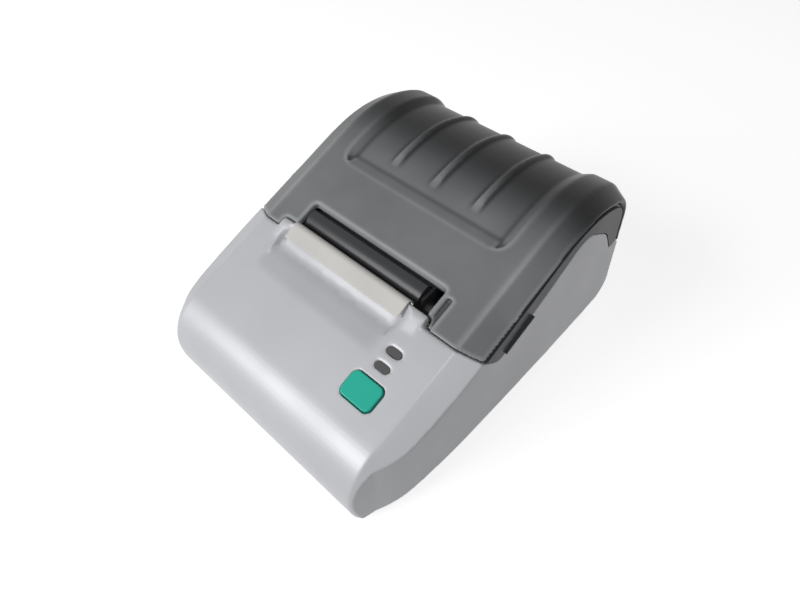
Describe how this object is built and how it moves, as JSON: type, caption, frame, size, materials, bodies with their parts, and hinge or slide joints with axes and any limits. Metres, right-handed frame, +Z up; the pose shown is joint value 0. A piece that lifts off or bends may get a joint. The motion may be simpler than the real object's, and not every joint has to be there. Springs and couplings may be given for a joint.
{
  "type": "thermal receipt printer",
  "caption": "Desktop thermal receipt printer with a sloping deck, a hinged drop-in cover that carries the platen roller, a paper roll bay, a feed key and status windows.",
  "frame": {"origin": "centre of the footprint, on the surface the rubber feet stand on", "axes": "+X to the printer's right seen from its front, +Y to the rear, +Z up, cover closed"},
  "size_m": [0.1134, 0.1511, 0.0714],
  "materials": {
    "silver_plastic": "satin, fine grain",
    "smoke_plastic": "satin, fine grain",
    "slate_plastic": "satin",
    "black_plastic": "satin",
    "gloss_black": "gloss",
    "green_key": "satin",
    "smoke_lens": "gloss",
    "white_gear": "satin",
    "steel": "brushed",
    "zinc_screw": "satin",
    "tin_plate": "satin",
    "aluminium": "satin",
    "ceramic": "gloss",
    "soft_rubber": "matte",
    "platen_rubber": "matte",
    "paper": "matte",
    "card": "matte",
    "board": "satin solder mask",
    "lamp": "gloss",
    "flex": "satin"
  },
  "bodies": {
    "base": {"body_shell": "silver_plastic", "bottom_plate": "black_plastic", "rubber_feet": "soft_rubber", "case_screws": "zinc_screw", "frame_screws": "zinc_screw", "board_screws": "zinc_screw", "paper_bay": "black_plastic", "paper_web": "paper", "print_frame": "black_plastic", "head_springs": "steel", "head_flex": "flex", "stepper_motor": "tin_plate", "gear_axles": "steel", "gear_cover": "black_plastic", "hinge_pins": "steel", "tear_bar": "steel", "feed_switch": "black_plastic", "light_pipes": "smoke_lens", "status_lights": "lamp", "key_board": "board", "main_board": "board", "board_parts": "black_plastic", "usb_socket": "tin_plate", "power_inlet": "black_plastic", "drawer_socket": "black_plastic", "rocker_housing": "black_plastic"},
    "cover": {"cover_shell": "smoke_plastic", "cover_frame": "slate_plastic", "platen_bracket": "steel", "platen_cover": "gloss_black", "holder_screws": "zinc_screw", "platen_bushings": "black_plastic"},
    "platen": {"platen_roller": "platen_rubber", "platen_shaft": "steel", "platen_gear": "white_gear"},
    "idler": {"idler_gear": "white_gear"},
    "reduction": {"reduction_gear": "white_gear"},
    "motor_shaft": {"motor_pinion": "steel"},
    "roll": {"paper_roll": "paper", "roll_core": "card"},
    "head": {"print_head": "ceramic", "head_heatsink": "aluminium"},
    "feed_key": {"feed_button": "green_key", "switch_plunger": "black_plastic"},
    "rocker": {"power_rocker": "black_plastic"}
  },
  "joints": [
    {"name": "cover_hinge", "type": "hinge", "parent": "base", "child": "cover", "pos_m": [0, 0.07045, 0.0384], "axis": [-1, 0, 0], "range_deg": [0, 85]},
    {"name": "platen_spin", "type": "hinge", "parent": "cover", "child": "platen", "pos_m": [0, -0.015, 0.0435], "axis": [1, 0, 0], "continuous": true},
    {"name": "idler_spin", "type": "hinge", "parent": "base", "child": "idler", "pos_m": [0.0312, -0.015, 0.0315], "axis": [1, 0, 0], "continuous": true},
    {"name": "reduction_spin", "type": "hinge", "parent": "base", "child": "reduction", "pos_m": [0.0326, -0.0244, 0.02808], "axis": [1, 0, 0], "continuous": true},
    {"name": "motor_spin", "type": "hinge", "parent": "base", "child": "motor_shaft", "pos_m": [0.024, -0.03709, 0.02216], "axis": [1, 0, 0], "continuous": true},
    {"name": "roll_spin", "type": "hinge", "parent": "base", "child": "roll", "pos_m": [0, 0.0365, 0.0308], "axis": [1, 0, 0], "continuous": true},
    {"name": "head_pivot", "type": "hinge", "parent": "base", "child": "head", "pos_m": [0, -0.0232, 0.0272], "axis": [1, 0, 0], "range_deg": [0, 2.5], "stiffness_Nm_per_rad": 0.6, "springref_deg": -5.73, "deforming": ["head_springs"]},
    {"name": "feed_button_press", "type": "slide", "parent": "base", "child": "feed_key", "axis": [0, 0.3746, -0.9272], "range_m": [0, 0.0006], "stiffness_N_per_m": 500, "springref_m": -0.0004},
    {"name": "power_rocker_tip", "type": "hinge", "parent": "base", "child": "rocker", "pos_m": [-0.038, 0.0719, 0.02324], "axis": [1, 0, 0], "range_deg": [0, 18]}
  ],
  "couplings": [
    {"joint": "idler_spin", "follows": "platen_spin", "ratio": -1},
    {"joint": "reduction_spin", "follows": "platen_spin", "ratio": 1.5},
    {"joint": "motor_spin", "follows": "platen_spin", "ratio": -5.5},
    {"joint": "roll_spin", "follows": "platen_spin", "ratio": 0.25272}
  ]
}
